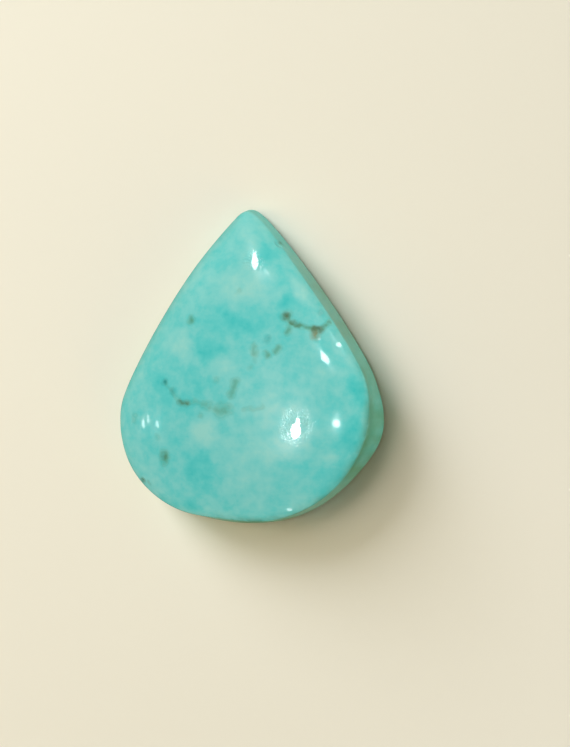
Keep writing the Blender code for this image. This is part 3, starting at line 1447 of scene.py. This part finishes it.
@dataclass(frozen=True)
class Viewpoint:
    """The camera: nearly overhead, leaning towards the right of the stone.

    Args:
        aim: the place on the floor at the middle of the view.
        distance: from there to the camera.
        heading: direction that the camera leans to.
        elevation: of the camera.
        roll: turn of the view.
        lens: focal length over a sensor of 36 mm on the long side.
        nearest: the shortest distance that it sees.
        farthest: the longest.
    """

    aim: Triple = (2.053, -0.429, 0.0)
    distance: float = 199.5
    heading: float = 8.42
    elevation: float = 76.78
    roll: float = 0.99
    lens: float = 137.26
    nearest: float = 1.0
    farthest: float = 10_000.0

    def back(self) -> np.ndarray:
        """The direction from the aim to the camera."""
        return direction(self.heading, self.elevation)

    def place(self) -> np.ndarray:
        """Where the camera is."""
        return np.array(self.aim) + self.distance * self.back()

    def axes(self) -> tuple[np.ndarray, np.ndarray, np.ndarray]:
        """Turn the view about its own direction.

        Returns:
            The view's right, up and back directions.
        """
        roll = math.radians(self.roll)
        right = np.cross([-math.sin(roll), math.cos(roll), 0.0], self.back())
        right = right / np.linalg.norm(right)
        return right, np.cross(self.back(), right), self.back()

    def build(self) -> bpy.types.Object:
        """Make the camera and look through it.

        Returns:
            The camera.
        """
        camera = bpy.data.cameras.new("view")
        camera.lens = self.lens
        camera.clip_start = self.nearest * MM
        camera.clip_end = self.farthest * MM
        watcher = put_in_scene("view", camera)
        watcher.matrix_world = frame_at(self.place(), *self.axes())
        bpy.context.scene.camera = watcher
        return watcher


@dataclass(frozen=True)
class Mirror:
    """The polished dome, as the camera looks into it.

    Args:
        skin: the stone's surface.
        eye: where the camera is.
    """

    skin: Skin
    eye: np.ndarray

    def at(self, place: complex) -> tuple[np.ndarray, np.ndarray]:
        """Mirror the view ray: twice its share along the normal, less the ray itself.

        Args:
            place: in plan.

        Returns:
            The dome's point there, and the mirrored ray.
        """
        point, normal = self.skin.dome_spot(place)
        to_eye = self.eye - point
        to_eye = to_eye / np.linalg.norm(to_eye)
        return point, 2 * (normal @ to_eye) * normal - to_eye


class GlintShape(Enum):
    """Outline of a glint, and so of its lamp."""

    OVAL = "ELLIPSE"
    SLANTED = "RECTANGLE"


@dataclass(frozen=True)
class Glint:
    """A lamp, given by the glint that it makes on the dome.

    Args:
        name: of the lamp.
        middle: the glint's place in plan.
        length: one side of the slanted box round the glint, as a step in plan.
        width: the other side.
        radiance: how bright the lamp's face is.
        shape: the oval in that box, or the whole box.
    """

    name: str
    middle: complex
    length: complex
    width: complex
    radiance: float
    shape: GlintShape = GlintShape.OVAL

    def build(self, mirror: Mirror, away: float = 400.0) -> bpy.types.Object:
        """Place the lamp where the dome mirrors it to the camera as this glint.

        The view ray mirrored at the glint's middle gives the lamp's direction. Mirrored at
        the ends of each side of the box, it gives two steps across that direction. Leaning
        one step towards the stone and the other away by the root of their dot product makes
        them square to each other, so that they are the sides of a flat lamp. Its energy is
        its radiance times pi times its area in square metres.

        Args:
            mirror: the dome that mirrors the lamp.
            away: from the stone to the lamp.

        Returns:
            The lamp.
        """
        point, ray = mirror.at(self.middle)
        place = point + away * ray
        long_side, wide_side = (self.thrown(mirror, side, place, ray)
                                for side in (self.length, self.width))
        overlap = float(long_side @ wide_side)
        lean = math.sqrt(abs(overlap))
        first = long_side + lean * ray
        second = wide_side - math.copysign(lean, overlap) * ray
        if np.cross(first, second) @ ray < 0:
            first, second = second, first
        sizes = np.linalg.norm(first), np.linalg.norm(second)
        across, along = first / sizes[0], second / sizes[1]

        lamp = bpy.data.lights.new(self.name, "AREA")
        lamp.shape = self.shape.value
        lamp.size, lamp.size_y = (float(size) * MM for size in sizes)
        fullness = math.pi / 4 if self.shape is GlintShape.OVAL else 1.0
        lamp.energy = self.radiance * math.pi * lamp.size * lamp.size_y * fullness
        holder = put_in_scene(self.name, lamp)
        holder.matrix_world = frame_at(place, across, along, np.cross(across, along))
        holder.visible_camera = False
        holder.visible_diffuse = False
        return holder

    def thrown(self, mirror: Mirror, side: complex, target: np.ndarray, ray: np.ndarray,
               least: float = 0.5) -> np.ndarray:
        """The step on the lamp's plane that shows as a side of the glint's box.

        Args:
            mirror: the dome that mirrors the lamp.
            side: the step in plan.
            target: the lamp's middle.
            ray: from the stone to the lamp.
            least: the shortest step that is measured; a shorter side is scaled from it.

        Returns:
            The step, square to the ray.
        """
        longer = max(1.0, least / abs(side))
        ends = []
        for half in (-0.5, 0.5):
            spot, other = mirror.at(self.middle + half * longer * side)
            ends.append(spot + (target - spot) @ ray / (other @ ray) * other)
        return (ends[1] - ends[0]) / longer


GLINTS: tuple[Glint, ...] = (
    Glint("tip_lamp", 0.63 + 7.50j, -0.20 + 1.26j, 0.42, 40.0),
    Glint("tip_tail", 1.52 + 6.65j, -0.36 + 0.46j, 0.22, 5.0),
    Glint("shoulder_lamp", 5.85 + 0.82j, 0.04 - 0.56j, 0.54 - 0.50j, 26.0, GlintShape.SLANTED),
    Glint("overhead_lamp", 4.07 - 4.15j, 0.05 + 0.98j, 0.64, 180.0),
    Glint("overhead_peak", 4.20 - 3.62j, 0.02 + 0.75j, 0.28, 100.0),
    Glint("overhead_haze", 4.05 - 3.85j, 0.05 + 2.3j, 1.3, 3.0),
    Glint("belly_lamp", 6.73 - 3.60j, 0.50j, 0.45, 26.0),
    Glint("belly_trail", 6.68 - 2.95j, 0.8j, 0.36, 1.0),
    Glint("belly_drop", 6.66 - 4.20j, 0.5j, 0.30, 0.9),
    Glint("low_lamp", 6.57 + 1.76j, 0.34j, 0.26, 24.0),
    Glint("low_spark", 6.27 + 2.10j, 0.26j, 0.22, 2.0),
    Glint("low_trail", 6.48 + 1.36j, 0.26j, 0.16, 3.0),
    Glint("round_end_lamp", 3.32 - 9.67j, 0.2j, 0.32, 10.0),
    Glint("window_left", -6.96 - 4.00j, 0.60j, 0.18, 18.0),
    Glint("window_middle", -6.58 - 3.67j, 0.62j, 0.14, 13.0),
    Glint("window_right", -5.85 - 3.98j, -0.12 + 0.52j, 0.24, 18.0),
)


class Lit(Enum):
    """What a soft lamp lights."""

    STONE = "stone"
    FLOOR = "floor"


@dataclass(frozen=True)
class SoftLamp:
    """A large square lamp that lights one thing and stays out of the polish.

    Args:
        name: of the lamp.
        heading: direction that it stands in.
        elevation: its height above the floor, as an angle.
        level: how brightly it lights a white face turned to it, 1 for full white.
        lit: what it lights.
        colour: of its light.
        size: of its side.
    """

    name: str
    heading: float
    elevation: float
    level: float
    lit: Lit
    colour: Triple = (1.0, 1.0, 1.0)
    size: float = 250.0

    def build(self, targets: dict[Lit, bpy.types.Object],
              away: float = 500.0) -> bpy.types.Object:
        """Place the lamp at a distance, facing the stone.

        Its energy is its level times the square of pi times its distance in metres.

        Args:
            targets: the stone and the floor.
            away: from the stone to the lamp.

        Returns:
            The lamp.
        """
        ray = direction(self.heading, self.elevation)
        lamp = bpy.data.lights.new(self.name, "AREA")
        lamp.size = self.size * MM
        lamp.color = self.colour
        lamp.energy = self.level * (math.pi * away * MM) ** 2
        holder = put_in_scene(self.name, lamp)
        turn = Vector(ray).to_track_quat("Z", "Y").to_matrix().to_4x4()
        holder.matrix_world = Matrix.Translation(Vector(ray * away * MM)) @ turn
        holder.visible_camera = False
        holder.visible_glossy = False
        receivers = bpy.data.collections.new(f"lit_by_{self.name}")
        receivers.objects.link(targets[self.lit])
        holder.light_linking.receiver_collection = receivers
        return holder


SOFT_LAMPS: tuple[SoftLamp, ...] = (
    SoftLamp("stone_left_front", -135.0, 15.0, 0.28, Lit.STONE),
    SoftLamp("stone_right_front", -45.0, 15.0, 0.26, Lit.STONE),
    SoftLamp("stone_right_back", 45.0, 15.0, 0.40, Lit.STONE),
    SoftLamp("stone_left_back", 135.0, 15.0, 0.46, Lit.STONE),
    SoftLamp("stone_top", 0.0, 86.0, 0.555, Lit.STONE, size=300.0),
    SoftLamp("floor_key", 135.0, 25.0, 1.24, Lit.FLOOR, (0.96, 1.0, 1.03)),
    SoftLamp("floor_left", 180.0, 25.0, 0.2, Lit.FLOOR, (1.0, 0.8, 0.4)),
    SoftLamp("floor_left_high", 180.0, 55.0, 0.27, Lit.FLOOR, (1.0, 0.8, 0.6)),
    SoftLamp("floor_high", 135.0, 55.0, 0.26, Lit.FLOOR, (0.9, 1.0, 0.9)),
    SoftLamp("floor_fill", -45.0, 25.0, 0.13, Lit.FLOOR, (1.0, 0.75, 0.25)),
)


@dataclass(frozen=True)
class Studio:
    """A plain pale floor, and a sky that lights it warmly and looks pale itself.

    Args:
        floor_size: of the floor's side.
        floor_colour: of the floor.
        floor_roughness: of the floor.
        sky_light: colour of the sky's light.
        sky_look: colour of the sky when it is seen.
        sky_level: how bright the light is.
        sky_in_polish: what is added where the polish mirrors the sky.
        sky_in_view: what is added where it is seen.
    """

    floor_size: float = 1200.0
    floor_colour: Colour = (0.80, 0.77, 0.70, 1.0)
    floor_roughness: float = 0.45
    sky_light: Colour = (1.0, 0.95, 0.4, 1.0)
    sky_look: Colour = (1.0, 0.98, 0.87, 1.0)
    sky_level: float = 0.05
    sky_in_polish: float = 0.2
    sky_in_view: float = 0.77

    def build_floor(self) -> bpy.types.Object:
        """Lay a square floor at the base's level, which stays out of the polish.

        Returns:
            The floor.
        """
        half = self.floor_size * MM / 2
        mesh = bpy.data.meshes.new("floor")
        corners = [(-half, -half, 0), (half, -half, 0), (half, half, 0), (-half, half, 0)]
        mesh.from_pydata(corners, [], [(0, 1, 2, 3)])
        material = bpy.data.materials.new("pale_floor")
        material.use_nodes = True
        shader = material.node_tree.nodes["Principled BSDF"]
        shader.inputs["Base Color"].default_value = self.floor_colour
        shader.inputs["Roughness"].default_value = self.floor_roughness
        mesh.materials.append(material)
        floor = put_in_scene("floor", mesh)
        floor.visible_glossy = False
        return floor

    def build_sky(self) -> None:
        """Hang a warm sky of which little lights the scene, and more shows, paler, when seen."""
        world = bpy.data.worlds.new("soft_sky")
        bpy.context.scene.world = world
        world.use_nodes = True
        bench = Bench(world.node_tree)
        background = world.node_tree.nodes["Background"]
        rays = bench.add("ShaderNodeLightPath").outputs
        colour = bench.blend(rays["Is Camera Ray"], self.sky_light, self.sky_look)
        level = bench.math("MULTIPLY_ADD", rays["Is Glossy Ray"], self.sky_in_polish,
                           self.sky_level)
        level = bench.math("MULTIPLY_ADD", rays["Is Camera Ray"], self.sky_in_view, level)
        bench.feed(background.inputs["Color"], colour)
        bench.feed(background.inputs["Strength"], level)


def main() -> None:
    """Dress the stone, and set the stage, the lights and the view."""
    logging.basicConfig(level=logging.INFO, format="%(name)s: %(message)s")
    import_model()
    low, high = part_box(STONE_NODE)
    bpy.context.scene.view_settings.view_transform = "Standard"

    cabochon = Cabochon(length=(high[1] - low[1]) / MM, height=(high[2] - low[2]) / MM)
    stone = cabochon.build()
    cabochon.dress(stone, TurquoiseFinish())
    log.info("%s: %d faces", stone.name, len(stone.data.polygons))

    studio = Studio()
    floor = studio.build_floor()
    log.info("%s: %.1f m wide", floor.name, floor.dimensions.x)
    studio.build_sky()
    for soft_lamp in SOFT_LAMPS:
        built = soft_lamp.build({Lit.STONE: stone, Lit.FLOOR: floor})
        log.info("%s: %.3f W", built.name, built.data.energy)
    view = Viewpoint()
    view.build()
    mirror = Mirror(cabochon.skin, view.place())
    for glint in GLINTS:
        lamp = glint.build(mirror)
        log.info("%s: %.1f x %.1f mm, %.3f W", lamp.name, lamp.data.size / MM,
                 lamp.data.size_y / MM, lamp.data.energy)


if __name__ == "__main__":
    main()
